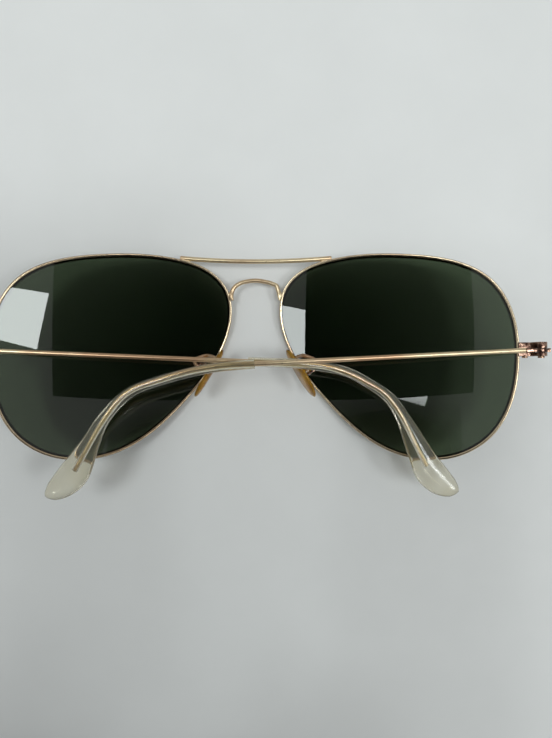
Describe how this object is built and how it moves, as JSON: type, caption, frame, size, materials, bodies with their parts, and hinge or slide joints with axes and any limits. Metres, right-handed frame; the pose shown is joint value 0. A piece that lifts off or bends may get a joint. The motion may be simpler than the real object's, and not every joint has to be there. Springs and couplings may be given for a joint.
{
  "type": "aviator sunglasses",
  "caption": "Folding wire-rimmed sunglasses with teardrop tinted lenses, a brow bar, rocking nose pads and temples with clear ear tips.",
  "frame": {"origin": "on the surface the lenses stand on, under the middle of the folded glasses", "axes": "+X across the face to the wearer's right, +Y up the face to the brow, +Z back towards the wearer"},
  "size_m": [0.1398, 0.0615, 0.0205],
  "materials": {
    "gold_wire": "polished gold plate, slightly worn",
    "hinge_metal": "gold plate worn to a reddish brown",
    "screw_metal": "small turned screws, worn",
    "lens_glass": "dark grey-green tinted glass, polished",
    "tip_plastic": "clear plastic gone slightly yellow",
    "pad_plastic": "clear pad material gone amber"
  },
  "bodies": {
    "front": {"rim_right": "gold_wire", "rim_left": "gold_wire", "lens_right": "lens_glass", "lens_left": "lens_glass", "brow_bar": "gold_wire", "nose_bridge": "gold_wire", "end_piece_upper_right": "hinge_metal", "end_piece_upper_left": "hinge_metal", "end_piece_lower_right": "hinge_metal", "end_piece_lower_left": "hinge_metal", "hinge_screw_right": "screw_metal", "hinge_screw_left": "screw_metal", "closing_screw_right": "screw_metal", "closing_screw_left": "screw_metal", "pad_arm_right": "gold_wire", "pad_arm_left": "gold_wire", "pad_box_right": "hinge_metal", "pad_box_left": "hinge_metal", "pad_screw_right": "screw_metal", "pad_screw_left": "screw_metal"},
    "right_temple": {"temple_hinge_right": "hinge_metal", "temple_wire_right": "gold_wire", "temple_tip_right": "tip_plastic"},
    "left_temple": {"temple_hinge_left": "hinge_metal", "temple_wire_left": "gold_wire", "temple_tip_left": "tip_plastic"},
    "right_nose_pad": {"nose_pad_right": "pad_plastic"},
    "left_nose_pad": {"nose_pad_left": "pad_plastic"}
  },
  "joints": [
    {"name": "right_temple_fold", "type": "hinge", "parent": "front", "child": "right_temple", "pos_m": [0.0678, 0.00548, 0.0192], "axis": [0, 1, 0], "range_deg": [0, 92.6]},
    {"name": "left_temple_fold", "type": "hinge", "parent": "front", "child": "left_temple", "pos_m": [-0.0678, 0.00548, 0.0192], "axis": [0, -1, 0], "range_deg": [0, 95]},
    {"name": "right_pad_rock", "type": "hinge", "parent": "front", "child": "right_nose_pad", "pos_m": [0.01331, 0.00098, 0.0086], "axis": [0.515, -0.8572, 0], "range_deg": [-8, 8]},
    {"name": "left_pad_rock", "type": "hinge", "parent": "front", "child": "left_nose_pad", "pos_m": [-0.01331, 0.00098, 0.0086], "axis": [-0.515, -0.8572, 0], "range_deg": [-8, 8]}
  ]
}
